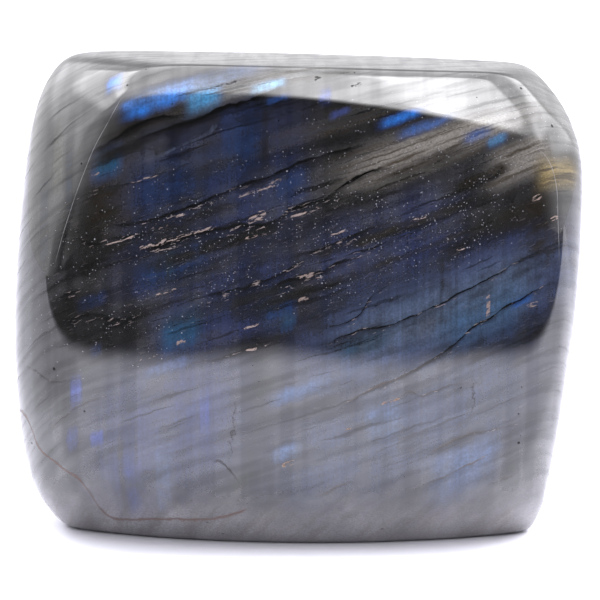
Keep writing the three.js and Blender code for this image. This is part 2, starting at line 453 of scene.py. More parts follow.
# %% Lines of the veins
# Each row: name, half width and shade width in mm, depth of tone, and picture points from left to right.
VEINS = [
    ("upper left", 0.35, 3.0, 1.0, (
        (82, 157), (102, 146), (116, 138), (134, 126), (154, 118), (180, 116), (197, 113))),
    ("upper", 0.5, 3.0, 1.0, (
        (130, 142), (150, 135), (180, 124), (200, 119), (220, 109), (240, 103), (262, 96), (290, 84))),
    ("faint upper", 0.12, 1.4, 0.5, ((50, 220), (76, 200), (100, 188), (122, 185), (150, 180), (170, 174))),
    ("long", 0.28, 2.4, 0.95, (
        (106, 228), (130, 224), (150, 220), (170, 214), (190, 207), (220, 194), (240, 185), (266, 178),
        (286, 169), (310, 159), (330, 153), (344, 150), (360, 146), (376, 141))),
    ("flake line", 0.2, 1.4, 0.9, ((62, 244), (76, 238), (96, 244), (110, 238), (134, 236), (158, 232))),
    ("middle", 0.45, 3.2, 1.0, (
        (138, 250), (170, 242), (190, 234), (212, 230), (240, 225), (266, 224), (280, 219), (290, 209),
        (308, 204), (324, 199), (336, 191), (352, 180), (370, 172), (400, 166))),
    ("right middle", 0.25, 2.0, 0.9, (
        (284, 260), (310, 252), (330, 245), (352, 236), (370, 229), (388, 224), (400, 215))),
    ("short", 0.2, 1.5, 0.8, ((338, 260), (356, 252), (372, 248), (400, 236))),
    ("lower left", 0.3, 2.4, 0.95, (
        (200, 298), (224, 292), (244, 288), (260, 282), (280, 274), (300, 262), (320, 254))),
    ("thick", 0.5, 3.0, 1.0, ((266, 290), (290, 280), (320, 272), (340, 262), (370, 254))),
    ("low middle", 0.25, 1.6, 0.8, ((320, 330), (340, 324), (360, 314), (370, 298), (380, 290), (400, 280))),
    ("low left", 0.3, 2.0, 0.85, ((200, 362), (220, 359), (240, 351), (266, 342), (280, 336))),
    ("right sweep", 0.22, 1.6, 0.85, (
        (320, 349), (340, 337), (360, 330), (390, 325), (410, 317), (430, 308), (442, 303), (456, 295),
        (474, 286), (490, 278), (502, 272), (518, 260), (530, 254))),
    ("rusty sweep", 0.28, 1.4, 0.95, (
        (338, 406), (370, 390), (390, 382), (414, 370), (438, 356), (456, 343), (476, 325), (490, 318),
        (504, 307), (520, 300), (538, 289), (556, 280))),
    ("left foot one", 0.25, 2.0, 0.9, ((48, 305), (70, 293), (96, 288))),
    ("left foot two", 0.3, 2.4, 0.9, ((53, 326), (76, 318), (94, 314), (118, 320), (140, 315), (158, 308))),
    ("pale one", 0.12, 0.8, 0.6, ((46, 434), (62, 418), (78, 406), (98, 398), (118, 396))),
    ("pale two", 0.12, 0.8, 0.5, ((20, 374), (54, 382), (76, 378), (94, 370))),
    ("pale three", 0.12, 0.8, 0.5, ((296, 390), (340, 384))),
    ("pale four", 0.14, 0.9, 0.6, ((390, 400), (410, 391), (422, 396), (448, 386), (476, 380))),
    ("pale five", 0.14, 0.9, 0.6, ((418, 461), (438, 448), (464, 436), (498, 428), (528, 420))),
    ("pale six", 0.14, 0.9, 0.6, ((416, 488), (440, 478), (462, 467), (478, 460), (506, 446))),
    ("pale seven", 0.12, 0.8, 0.5, ((486, 487), (510, 476), (532, 462))),
    ("pale eight", 0.12, 0.8, 0.5, ((310, 499), (324, 493), (344, 484), (372, 479))),
    ("left facet one", 0.2, 1.4, 0.9, ((42, 128), (60, 110), (90, 92), (100, 88))),
    ("left facet two", 0.25, 1.8, 1.0, ((38, 157), (52, 143), (66, 128), (80, 117), (100, 104), (110, 98))),
    ("left facet three", 0.25, 1.8, 1.0, ((28, 204), (40, 190), (56, 170), (70, 150))),
    ("left facet four", 0.2, 1.6, 1.0, ((30, 256), (44, 234), (50, 220))),
]

# %% Curves through picture points
ACROSS_SPAN = (-60.0, 60.0)
LAYER_SPAN = (-40.0, 140.0)


def share(value, span):
    return (value - span[0]) / (span[1] - span[0])


# A curve node works between 0 and 1, so both measures are given as shares of their spans.
def curve_through(places, measure, span, other_span):
    measured = calc(stone, "MULTIPLY_ADD", measure, 1 / (span[1] - span[0]), share(0, span))
    node = add_node(stone, "ShaderNodeFloatCurve", {"Value": measured})
    curve = node.mapping.curves[0]
    curve.points[0].location = (0.0, share(places[0][1], other_span))
    curve.points[1].location = (1.0, share(places[-1][1], other_span))
    for place, value in places:
        curve.points.new(share(place, span), share(value, other_span)).handle_type = "AUTO_CLAMPED"
    node.mapping.update()
    return calc(stone, "MULTIPLY_ADD", node.outputs[0], other_span[1] - other_span[0], other_span[0])


# %% Draw the veins
swelling = stretched_noise(0.22, 0.5)
vein_core = 0.0
vein_shade = 0.0
for number, (name, half_width, shade_width, depth, points) in enumerate(VEINS, 1):
    places = sorted(on_stone(*point) for point in points)
    line = curve_through(places, across, ACROSS_SPAN, LAYER_SPAN)
    vein = add_node(stone, "ShaderNodeGroup", {
        "Across": across, "Layer": layer, "Line": line, "Swell": swelling, "Start": places[0][0],
        "End": places[-1][0], "Half Width": half_width, "Shade Width": shade_width, "Depth": depth,
        "Core So Far": vein_core, "Shade So Far": vein_shade}, node_tree=vein_group, label=name).outputs
    vein_core, vein_shade = vein["Core"], vein["Shade"]
    if number % HAND_ON_EVERY == 0:
        across, layer = vein["Across"], vein["Layer"]
print("veins drawn:", len(VEINS))

# %% [markdown]
# ## Flashes and tinted patches
# Labradorite flashes blue where its twin layers lie at the right angle. The twins end at upright planes, so
# a flash is cut off at its left and right and fades out softly above and below. One node group lays such
# patches over the colour so far. It serves for the blue flashes, the grey and brown clouds, the dark stains
# and the tan flakes. Each patch is a point in the picture with a half width and a half height, so the lists
# below can be read against the photograph. A vector has three numbers, so the group works out three patches
# at once and the picture is made sooner.

# %% Node group for three patches
FULL_HEIGHT = 0.15
FADED_HEIGHT = 1.5
ORDER = ("First", "Second", "Third")
AT_ONCE = len(ORDER)
patch_group, given, result = new_group(
    "three twin patches", "ShaderNodeTree",
    {"Across": 0.0, "Centres Across": "Vector", "Full Across": "Vector", "Faded Across": "Vector",
     "Layer": 0.0, "Centres Layer": "Vector", "Full Layer": "Vector", "Faded Layer": "Vector",
     "Strengths": "Vector", "Amounts So Far": "Vector",
     **{name + " Colour": (0.0, 0.0, 0.0, 1.0) for name in ("So Far", *ORDER)}},
    {"Colour": "Color", "Amounts": "Vector", "Across": "Float", "Layer": "Float"})


# The vector sockets of this node share their names with hidden ones, so they are found by number.
def fade_out(measure, start):
    offset = vector_calc(patch_group, "SUBTRACT", given[measure], given["Centres " + measure])
    away = vector_calc(patch_group, "ABSOLUTE", offset)
    values = {6: away, 7: given["Full " + measure], 8: given["Faded " + measure], 9: start, 10: (0, 0, 0)}
    return add_node(patch_group, "ShaderNodeMapRange", values, data_type="FLOAT_VECTOR",
                    interpolation_type="SMOOTHSTEP").outputs["Vector"]


sides = fade_out("Across", (1, 1, 1))
patches = vector_calc(patch_group, "MULTIPLY", sides, fade_out("Layer", given["Strengths"]))
amounts = vector_calc(patch_group, "MAXIMUM", given["Amounts So Far"], patches)
masks = add_node(patch_group, "ShaderNodeSeparateXYZ", {0: patches}).outputs
laid = given["So Far Colour"]
for name, mask in zip(ORDER, masks):
    laid = mix_colours(patch_group, mask, laid, given[name + " Colour"])
patch_group.links.new(laid, result["Colour"])
patch_group.links.new(amounts, result["Amounts"])
hand_on(patch_group, masks[2], given, result)
print("patch group:", len(patch_group.nodes), "nodes")


# %% Lay a list of patches
def lay_patches(rows, colours, start_colour, softness):
    global across, layer
    colour, amounts = (*start_colour, 1), (0, 0, 0)
    without_strength = (*rows[-1][:-1], 0.0)
    rows = rows + [without_strength] * (-len(rows) % AT_ONCE)
    for start in range(0, len(rows), AT_ONCE):
        lists = zip(*rows[start:start + AT_ONCE])
        names, columns, lines, half_columns, half_rows, colour_names, strengths = lists
        centres_across, centres_layer = zip(*map(on_stone, columns, lines))
        half_across = Vector(half_columns) * PIXEL
        half_layer = Vector(half_rows) * PIXEL
        values = {name + " Colour": (*colours[chosen], 1) for name, chosen in zip(ORDER, colour_names)}
        values.update({
            "Across": across, "Centres Across": centres_across, "Full Across": half_across * (1 - softness),
            "Faded Across": half_across * (1 + softness), "Layer": layer, "Centres Layer": centres_layer,
            "Full Layer": half_layer * FULL_HEIGHT, "Faded Layer": half_layer * FADED_HEIGHT,
            "Strengths": strengths, "So Far Colour": colour, "Amounts So Far": amounts})
        label = ", ".join(names)
        three = add_node(stone, "ShaderNodeGroup", values, node_tree=patch_group, label=label).outputs
        colour, amounts = three["Colour"], three["Amounts"]
        across, layer = three["Across"], three["Layer"]
    first, second, third = add_node(stone, "ShaderNodeSeparateXYZ", {0: amounts}).outputs
    return colour, calc(stone, "MAXIMUM", calc(stone, "MAXIMUM", first, second), third)


# %% Blue flashes
FLASH_START = (0.02, 0.03, 0.1)
FLASH_COLOURS = {
    "navy": (0.005, 0.009, 0.022), "royal": (0.004, 0.020, 0.066), "teal": (0.009, 0.038, 0.075),
    "steel": (0.040, 0.055, 0.088), "azure": (0.015, 0.14, 0.50), "deep azure": (0.01, 0.07, 0.26),
    "cyan": (0.05, 0.24, 0.46), "pale cyan": (0.22, 0.52, 0.75), "pale blue": (0.10, 0.17, 0.32),
    "periwinkle": (0.045, 0.065, 0.22),
}
# Each row: name, column, row, half width and half height in pixels, colour, strength.
FLASHES = [
    ("whole left navy", 208, 200, 85, 75, "navy", 0.45),
    ("dark zone blue", 241, 140, 21, 40, "royal", 0.65),
    ("left teal", 107, 163, 14, 18, "teal", 1.0),
    ("upper blue", 172, 182, 38, 33, "royal", 0.55),
    ("middle blue", 291, 185, 17, 22, "royal", 0.6),
    ("royal field", 172, 267, 35, 22, "royal", 0.85),
    ("royal streak", 170, 262, 4, 18, "teal", 0.7),
    ("small left blue", 92, 301, 13, 7, "royal", 0.7),
    ("low left blue", 96, 350, 5, 6, "royal", 0.6),
    ("low navy", 225, 305, 60, 40, "navy", 0.7),
    ("low teal", 180, 333, 20, 22, "teal", 0.9),
    ("low pale", 167, 368, 23, 9, "pale blue", 0.45),
    ("middle royal", 278, 307, 16, 23, "royal", 0.9),
    ("middle teal", 288, 322, 8, 10, "teal", 0.7),
    ("violet field", 355, 310, 38, 40, "royal", 0.35),
    ("right navy", 380, 250, 70, 45, "navy", 0.5),
    ("right royal", 418, 312, 27, 40, "royal", 0.5),
    ("right steel", 440, 312, 120, 48, "steel", 0.95),
    ("right teal", 482, 322, 42, 30, "teal", 0.55),
    ("right azure streak", 522, 301, 9, 4, "deep azure", 0.7),
    ("crossed teal", 362, 345, 23, 10, "teal", 0.8),
    ("bevel azure", 158, 100, 30, 13, "azure", 1.0),
    ("bevel cyan", 203, 98, 17, 16, "cyan", 0.8),
    ("bevel royal", 132, 103, 11, 9, "deep azure", 0.9),
    ("bevel wash", 190, 84, 60, 12, "pale blue", 0.6),
    ("corner pale", 114, 84, 8, 14, "azure", 0.9),
    ("ridge pale cyan", 268, 86, 16, 8, "pale cyan", 0.7),
    ("ridge royal", 278, 98, 12, 5, "deep azure", 0.6),
    ("ridge periwinkle", 325, 95, 6, 12, "periwinkle", 0.7),
    ("ridge small", 340, 113, 9, 4, "periwinkle", 0.5),
    ("ridge azure", 402, 117, 20, 7, "azure", 0.7),
    ("ridge azure long", 428, 125, 26, 7, "azure", 0.55),
    ("ridge azure right", 478, 134, 14, 7, "azure", 0.5),
    ("ridge cyan spot", 497, 140, 10, 7, "cyan", 0.5),
    ("low wash left", 165, 430, 75, 75, "periwinkle", 0.35),
    ("low wash right", 400, 430, 130, 70, "pale blue", 0.25),
    ("pale zone one", 76, 392, 6, 16, "periwinkle", 0.8),
    ("pale zone two", 97, 438, 7, 9, "periwinkle", 0.9),
    ("pale zone low", 72, 440, 6, 12, "periwinkle", 0.6),
    ("pale zone three", 205, 415, 6, 28, "periwinkle", 0.6),
    ("pale zone middle", 178, 400, 16, 26, "periwinkle", 0.4),
    ("pale zone four", 288, 452, 15, 10, "pale blue", 0.6),
    ("pale zone five", 297, 392, 27, 10, "pale blue", 0.55),
    ("pale zone six", 382, 422, 18, 24, "pale blue", 0.55),
    ("pale zone seven", 465, 465, 35, 28, "pale blue", 0.5),
    ("pale zone eight", 133, 485, 8, 30, "periwinkle", 0.5),
    ("pale zone nine", 163, 478, 9, 35, "pale blue", 0.4),
]
flash_colour, flash_amount = lay_patches(FLASHES, FLASH_COLOURS, FLASH_START, 0.5)
print("flashes laid:", len(FLASHES))

# %% Grey and brown clouds
CLOUD_START = (0.02, 0.02, 0.02)
CLOUD_COLOURS = {
    "grey": (0.035, 0.034, 0.035), "warm grey": (0.115, 0.106, 0.096), "pale grey": (0.10, 0.10, 0.10),
    "olive": (0.022, 0.021, 0.014), "black": (0.002, 0.002, 0.002), "brown": (0.007, 0.005, 0.003),
    "golden": (0.115, 0.085, 0.034), "rose": (0.07, 0.052, 0.046), "pale green": (0.15, 0.155, 0.13),
    "blue grey": (0.012, 0.018, 0.03), "cream": (0.25, 0.2, 0.15),
}
CLOUDS = [
    ("left olive", 112, 205, 22, 60, "olive", 0.7),
    ("upper right grey", 440, 142, 100, 28, "warm grey", 1.0),
    ("ridge grey", 330, 125, 70, 14, "grey", 0.6),
    ("bevel grey", 250, 84, 95, 20, "pale grey", 0.9),
    ("speckled corner", 506, 100, 14, 30, "pale grey", 0.6),
    ("olive corner", 520, 160, 32, 26, "warm grey", 1.0),
    ("pale column", 58, 160, 6, 55, "pale green", 0.5),
    ("dark column", 44, 225, 5, 85, "blue grey", 0.7),
    ("dark column two", 69, 175, 4, 60, "blue grey", 0.8),
    ("left grey one", 125, 150, 14, 22, "grey", 0.5),
    ("middle grey", 215, 150, 26, 30, "grey", 0.45),
    ("right golden", 559, 172, 23, 22, "golden", 1.0),
    ("crust haze", 564, 232, 12, 14, "rose", 0.4),
    ("foot cream one", 428, 527, 13, 8, "cream", 0.5),
    ("foot cream two", 503, 523, 9, 6, "cream", 0.6),
]
cloud_colour, cloud_amount = lay_patches(CLOUDS, CLOUD_COLOURS, CLOUD_START, 0.5)
print("clouds laid:", len(CLOUDS))

# %% [markdown]
# ## Dark stains, flakes and broken grains
# Soot-black and brown stains lie in the layers beside the veins. Inside the open cracks, thin tan flakes
# catch the light, and a few grains broke out of the polished face and left dark spots. All of them are
# patches once more, small and strong ones, and noise gives them ragged edges further below.

# %% Dark stains
STAIN_START = (0.003, 0.003, 0.003)
STAIN_COLOURS = {"soot": (0.0022, 0.0022, 0.002), "umber": (0.0060, 0.0045, 0.0025)}
STAINS = [
    ("left stain", 90, 245, 14, 48, "soot", 0.95),
    ("left edge stain", 105, 205, 22, 30, "umber", 0.75),
    ("low left stain", 76, 318, 28, 34, "soot", 0.9),
    ("below the bevel", 150, 120, 50, 10, "umber", 0.75),
    ("upper smudge", 425, 163, 40, 9, "umber", 0.7),
    ("right smudge", 482, 178, 28, 9, "umber", 0.95),
    ("corner smudge", 524, 213, 32, 17, "umber", 0.95),
    ("edge smudge", 546, 235, 20, 26, "umber", 0.8),
    ("middle stain", 345, 205, 40, 10, "soot", 0.5),
    ("middle column", 310, 300, 13, 28, "soot", 0.6),
    ("upper column", 265, 145, 4, 45, "soot", 0.45),
    ("under the vein", 120, 152, 28, 9, "soot", 0.8),
    ("mid left shade", 150, 240, 62, 32, "soot", 0.6),
    ("middle vein shade", 225, 243, 90, 9, "soot", 0.75),
    ("long vein shade", 180, 222, 60, 6, "soot", 0.6),
    ("lower vein shade", 235, 303, 80, 7, "soot", 0.65),
    ("thick vein shade", 310, 290, 60, 9, "soot", 0.75),
    ("right vein shade", 400, 228, 85, 7, "umber", 0.75),
    ("right vein shade two", 420, 250, 75, 4, "umber", 0.6),
    ("left flake line", 105, 252, 40, 8, "soot", 0.8),
    ("left middle", 150, 310, 30, 10, "soot", 0.7),
    ("low column", 121, 470, 3, 50, "umber", 0.6),
    ("low column two", 136, 455, 2, 45, "umber", 0.5),
    ("right column", 442, 290, 2, 45, "soot", 0.5),
]
stain_colour, stain_amount = lay_patches(STAINS, STAIN_COLOURS, STAIN_START, 0.7)
print("stains laid:", len(STAINS))

# %% Tan flakes
FLAKE_START = (0.2, 0.15, 0.13)
FLAKE_COLOURS = {"tan": (0.15, 0.122, 0.115), "dull tan": (0.10, 0.08, 0.075), "rust": (0.085, 0.045, 0.022)}
# Each row: column, row, half width and half height in pixels, colour, strength.
FLAKES = [
    (95, 175, 4, 1.2, "dull tan", 0.8), (140, 180, 9, 1.2, "tan", 0.8), (154, 176, 8, 1.2, "tan", 0.8),
    (182, 215, 6, 1.3, "tan", 0.8), (148, 246, 10, 1.8, "tan", 0.9), (166, 241, 10, 2.0, "tan", 0.9),
    (184, 235, 10, 1.8, "tan", 0.9), (202, 230, 9, 1.5, "tan", 0.9), (163, 227, 4, 1.0, "dull tan", 0.8),
    (246, 194, 9, 1.5, "tan", 0.8), (266, 188, 9, 1.6, "tan", 0.8), (276, 182, 5, 2.0, "dull tan", 0.8),
    (257, 218, 8, 3.6, "tan", 0.9), (262, 213, 4, 3.0, "tan", 0.8), (294, 216, 12, 1.5, "tan", 0.8),
    (251, 238, 6, 1.3, "tan", 0.8), (166, 292, 10, 1.5, "tan", 0.8), (307, 276, 7, 2.4, "dull tan", 0.8),
    (303, 300, 5, 2.4, "dull tan", 0.8), (251, 327, 7, 1.4, "tan", 0.8), (251, 350, 6, 1.4, "tan", 0.7),
    (181, 342, 5, 4.0, "dull tan", 0.5), (150, 358, 14, 1.3, "tan", 0.7), (488, 305, 2, 16, "dull tan", 0.6),
    (532, 305, 6, 3.0, "dull tan", 0.7), (120, 241, 16, 1.1, "tan", 0.7), (338, 233, 7, 1.2, "tan", 0.8),
    (420, 218, 9, 1.3, "tan", 0.8), (465, 247, 8, 1.6, "tan", 0.8), (537, 197, 5, 3.0, "dull tan", 0.7),
    (554, 219, 4, 2.5, "dull tan", 0.7), (344, 431, 7, 1.8, "rust", 0.8), (391, 401, 9, 1.6, "rust", 0.8),
    (288, 464, 6, 2.4, "rust", 0.9),
]
flake_rows = [("flake", *row) for row in FLAKES]
flake_colour, flake_amount = lay_patches(flake_rows, FLAKE_COLOURS, FLAKE_START, 0.35)
print("flakes laid:", len(FLAKES))

# %% Dark spots where grains broke out
SPOT_DARK = (0.006, 0.006, 0.007)
# Each row: column, row, half width and half height in pixels, strength.
SPOTS = [
    (213, 88, 9, 1.6, 1.0), (231, 83, 5, 1.6, 0.9), (318, 78, 3, 4.0, 0.9),
    (345, 72, 5, 2.4, 1.0), (356, 85, 5, 3.0, 1.0), (382, 152, 4, 2.0, 0.9),
    (459, 389, 3, 2.2, 0.8), (428, 158, 5, 2.0, 0.9), (464, 164, 10, 3.0, 1.0),
    (488, 178, 12, 3.5, 1.0), (503, 206, 8, 5.0, 1.0), (357, 196, 5, 4.0, 1.0),
]
spot_rows = [("spot", *row[:4], "dark", row[4]) for row in SPOTS]
spot_amount = lay_patches(spot_rows, {"dark": SPOT_DARK}, SPOT_DARK, 0.35)[1]
print("dark spots laid:", len(SPOTS))

# %% [markdown]
# ## The body of the stone
# Under the flashes the stone is a smoky grey with olive tones. Fine streaks follow the layers, and upright
# twin bands cross them. All of these are one kind of noise, stretched in one direction. Each noise is made
# once here and serves for several marks below. Short names for multiplying, joining and fading masks keep
# the steps easy to read.

# %% Short names for masks
def times(*masks):
    return product(stone, *masks)


def larger(first, *others):
    for mask in others:
        first = calc(stone, "MAXIMUM", first, mask)
    return first


def less(mask, share_taken):
    return calc(stone, "MULTIPLY_ADD", mask, -share_taken, 1.0)


def ramp(value, low, high, to_low=0.0, to_high=1.0):
    return smooth_step(stone, value, low, high, to_low, to_high)


def paint(colour):
    return (*colour, 1) if isinstance(colour, tuple) else colour


def blend(factor, under, over):
    return mix_colours(stone, factor, paint(under), paint(over))


def dim(colour, amount):
    grey = add_node(stone, "ShaderNodeCombineColor", {0: amount, 1: amount, 2: amount}).outputs[0]
    return mix_colours(stone, 1.0, colour, grey, blend_type="MULTIPLY")


def upright_bands(pitch, detail):
    spot = vector_calc(stone, "MULTIPLY", millimetres, (pitch, pitch * 0.15, pitch * 0.04))
    return noise(stone, spot, 1.0, detail, 0.5)


# %% Body colour
BODY_TONES = ((0.35, (0.0025, 0.0025, 0.002)), (0.5, (0.0045, 0.0045, 0.005)), (0.68, (0.015, 0.015, 0.016)))
slow_cloud = stretched_noise(0.03, 0.09)
streaks = stretched_noise(0.06, 0.55, roughness=0.5)
blotches = stretched_noise(0.13, 0.2, roughness=0.6)
bands = upright_bands(0.35, 2.0)
fine_bands = upright_bands(1.6, 3.0)

body = add_node(stone, "ShaderNodeValToRGB", {"Fac": slow_cloud})
tones = body.color_ramp.elements
tones.new(BODY_TONES[1][0])
for tone, (position, colour) in zip(tones, BODY_TONES):
    tone.position = position
    tone.color = paint(colour)
body_colour = dim(body.outputs["Color"], ramp(streaks, 0.3, 0.7, 0.55, 1.45))
body_colour = dim(body_colour, ramp(bands, 0.35, 0.65, 0.5, 1.5))
body_colour = blend(times(cloud_amount, ramp(streaks, 0.25, 0.7, 0.6, 1.0)), body_colour, cloud_colour)
print("body tones:", len(tones))

# %% [markdown]
# ## Brown streaks and painted light on the foot
# Iron has stained the layers brown where the stone is grey, so thin brown streaks follow the layers inside
# the clouds. The foot curves away from the light and mirrors the shaded table, so painted light makes its
# colour paler there, as a mirror image of the lit table would. The painted light is strongest at the table
# and fades out with height.

# %% Brown streaks and the painted light on the foot
STREAK_BROWN = (0.016, 0.011, 0.005)
FOOT_LIGHT_TOP = 17.0
FOOT_PAINTED_LIGHT = (0.15, 0.142, 0.15)
FOOT_BROWN = (0.10, 0.085, 0.075)
brown_streaks = ramp(stretched_noise(0.07, 1.3, detail=4.0, roughness=0.6), 0.46, 0.62, 0.0, 0.85)
body_colour = blend(times(brown_streaks, cloud_amount), body_colour, STREAK_BROWN)
# Painted light: a pale colour, streaked brown, is laid over the foot and fades out up to a ragged height.
ragged_height = calc(stone, "ADD", plain[2], calc(stone, "MULTIPLY_ADD", blotches, 10.0, -5.0))
foot = ramp(ragged_height, 0.0, FOOT_LIGHT_TOP, 0.9, 0.0)
foot_light_and_streak_colour = blend(times(brown_streaks, 0.5), FOOT_PAINTED_LIGHT, FOOT_BROWN)
foot_light_and_streak_colour = dim(foot_light_and_streak_colour, ramp(streaks, 0.3, 0.7, 0.8, 1.15))
print("pale foot up to", FOOT_LIGHT_TOP, "mm")

# %% [markdown]
# ## Lay the marks over the body
# The order is that of the real stone: the flash comes from inside, a stain lies over it, and the veins cut
# through both. Noise breaks every mark up, so a flash shows fine bands and its edge is never a clean oval.
# Thin lenses of one more noise make the hairline cracks, and another makes the light dashes near the veins.

# %% Flashes, stains and foot
flash_grain = times(ramp(fine_bands, 0.35, 0.65, 0.8, 1.1), ramp(blotches, 0.34, 0.6, 0.4, 1.05),
                    ramp(streaks, 0.3, 0.6, 0.7, 1.0))
flash = times(flash_amount, flash_grain)
shown_colour = blend(flash, body_colour, flash_colour)
stain = times(ramp(stain_amount, 0.0, 0.85), ramp(blotches, 0.62, 0.4, 0.6, 1.0))
shown_colour = blend(stain, shown_colour, stain_colour)
flash = times(flash, less(stain, 1.0))
# Painted light on the foot, laid over the stone's colour.
shown_colour = blend(foot, shown_colour, foot_light_and_streak_colour)

# %% Veins and hairlines
TOE_HEIGHT = (14.0, 30.0)
RUSTY_HEIGHT = (30.0, 42.0)
RUSTY_VEIN = (0.045, 0.028, 0.020)
above_toe = ramp(plain[2], *TOE_HEIGHT)
hair = times(ramp(stretched_noise(0.06, 1.0, detail=2.0, roughness=0.5), 0.33, 0.38, 0.6, 0.0), above_toe)
dark_lines = larger(vein_core, hair)
shown_colour = dim(shown_colour, times(less(dark_lines, 0.93), less(vein_shade, 0.75)))
shown_colour = blend(times(vein_core, ramp(plain[2], *RUSTY_HEIGHT, 0.8, 0.0)), shown_colour, RUSTY_VEIN)
grain = noise(stone, millimetres, 2.6, 3.0, 0.7)
shown_colour = dim(shown_colour, ramp(grain, 0.3, 0.72, 0.78, 1.3))

# %% Dashes, flakes and dark spots
DASH_TAN = (0.14, 0.115, 0.11)
BEVEL_HEIGHT = (68.0, 76.0)
dashes = ramp(stretched_noise(0.5, 3.0, roughness=0.6), 0.62, 0.66)
below_bevel = times(ramp(plain[2], *BEVEL_HEIGHT, 0.85, 0.0), above_toe)
dashes = times(dashes, ramp(vein_shade, 0.02, 0.25, 0.12, 1.0), below_bevel)
shown_colour = blend(dashes, shown_colour, DASH_TAN)
ragged_edge = ramp(stretched_noise(0.7, 2.2, detail=4.0, roughness=0.7), 0.49, 0.54)
flakes = times(ramp(flake_amount, 0.25, 0.5), ragged_edge)
shown_colour = blend(flakes, shown_colour, flake_colour)
spots = times(ramp(spot_amount, 0.2, 0.5), ragged_edge)
shown_colour = blend(times(spots, 0.85), shown_colour, SPOT_DARK)
print("marks laid over the body")

# %% [markdown]
# ## Specks and pits
# Tiny light specks are scattered in the dark part, and small pits are scattered all over, where grains
# broke out during grinding. Both come from Voronoi cells: each cell holds one dot, and a random choice
# keeps only some of them.

# %% Node group for scattered dots
dot_group, given, result = new_group(
    "scattered dots", "ShaderNodeTree",
    {"Millimetres": "Vector", "Scale": 1.0, "Radius": 0.12, "Share": 0.2}, {"Mask": "Float"})
cells = add_node(dot_group, "ShaderNodeTexVoronoi", {"Vector": given["Millimetres"], "Scale": given["Scale"]})
reach = calc(dot_group, "MULTIPLY", given["Radius"], given["Scale"])
pick = add_node(dot_group, "ShaderNodeSeparateColor", {0: cells.outputs["Color"]}).outputs
sized = calc(dot_group, "MULTIPLY", reach, calc(dot_group, "MULTIPLY_ADD", pick[1], 0.8, 0.4))
full = calc(dot_group, "MULTIPLY", sized, 0.6)
dot = smooth_step(dot_group, cells.outputs["Distance"], full, sized, 1.0, 0.0)
kept_dot = calc(dot_group, "LESS_THAN", pick[0], given["Share"])
dot_group.links.new(calc(dot_group, "MULTIPLY", dot, kept_dot), result["Mask"])


def dots(scale, radius, share_kept):
    values = {"Millimetres": millimetres, "Scale": scale, "Radius": radius, "Share": share_kept}
    return add_node(stone, "ShaderNodeGroup", values, node_tree=dot_group).outputs["Mask"]


# %% Specks and pits
SPECK_LIGHT = (0.2, 0.2, 0.22)
PIT_DARK = (0.006, 0.006, 0.006)
SPECKLED = [
    ("upper cluster", 291, 185, 20, 26, "speck", 1.0),
    ("right cluster", 415, 235, 95, 45, "speck", 1.0),
    ("whole dark part", 330, 205, 260, 88, "speck", 0.6),
]
speck_share = lay_patches(SPECKLED, {"speck": SPECK_LIGHT}, SPECK_LIGHT, 0.4)[1]
specks = larger(dots(2.0, 0.10, speck_share), dots(0.8, 0.15, times(speck_share, 0.7)))
shown_colour = blend(times(specks, 0.8), shown_colour, SPECK_LIGHT)
pits = larger(dots(0.35, 0.35, 0.10), dots(0.9, 0.13, 0.08))
shown_colour = blend(times(pits, 0.8), shown_colour, PIT_DARK)
print("speckled areas:", len(SPECKLED))

# %% [markdown]
# ## Cracks, painted ridge highlights and haze
# A few lines don't follow the layers: a rusty crack low on the left, short open cracks, and painted
# highlights along the creases at the left and right of the front face, where the sharp ridges catch the
# light. They are curves through picture points, as the veins are. An upright line holds a place across for
# each height, and a level line holds a height for each place across.

# %% Lines that cross the layers
HEIGHT_SPAN = (0.0, 100.0)
quiver = noise(stone, millimetres, 0.5, 4.0, 0.7)


def shaken(line, wobble):
    return calc(stone, "ADD", line, calc(stone, "MULTIPLY_ADD", quiver, wobble * 2, -wobble))


def upright_line(points, half_width, wobble=0.0):
    places = sorted(tuple(place_on_stone(*point).zx) for point in points)
    line = curve_through(places, plain[2], HEIGHT_SPAN, ACROSS_SPAN)
    if wobble:
        line = shaken(line, wobble)
    off = away_from(stone, plain[0], line)
    low, high = places[0][0], places[-1][0]
    tall = times(ramp(plain[2], low, low + 6), ramp(plain[2], high - 2, high, 1.0, 0.0))
    return times(ramp(off, half_width * 0.4, half_width, 1.0, 0.0), tall, ramp(plain[1], -14, -10, 1.0, 0.0))


def level_line(points, half_width):
    places = sorted(tuple(place_on_stone(*point).xz) for point in points)
    line = shaken(curve_through(places, plain[0], ACROSS_SPAN, HEIGHT_SPAN), 0.9)
    off = away_from(stone, plain[2], line)
    first, last = places[0][0], places[-1][0]
    ends = times(ramp(plain[0], first - 1, first), ramp(plain[0], last - 3, last, 1.0, 0.0))
    return times(ramp(off, half_width * 0.3, half_width, 1.0, 0.0), ends, ramp(plain[1], 2, 6, 1.0, 0.0))


# %% Open cracks and the rusty crack
CRACK_DARK = (0.014, 0.010, 0.008)
RUST_BROWN = (0.07, 0.035, 0.025)
FISSURE = ((236, 398), (233, 425), (231, 450), (229, 470))
FISSURE_ARMS = ((217, 461), (229, 469), (235, 477), (243, 485))
RIGHT_CRACK = ((474, 378), (473, 396), (471, 412), (465, 430))
RUST = ((22, 412), (32, 430), (38, 446), (50, 458), (66, 470), (80, 480), (92, 496), (106, 514), (118, 519),
        (160, 519), (210, 519), (240, 512), (254, 508))
cracks = larger(upright_line(FISSURE, 0.14, 2.0), upright_line(RIGHT_CRACK, 0.14, 2.0),
                level_line(FISSURE_ARMS, 0.4))
shown_colour = blend(times(cracks, 0.65), shown_colour, CRACK_DARK)
rust = level_line(RUST, 0.5)
shown_colour = blend(times(rust, 0.75), shown_colour, RUST_BROWN)
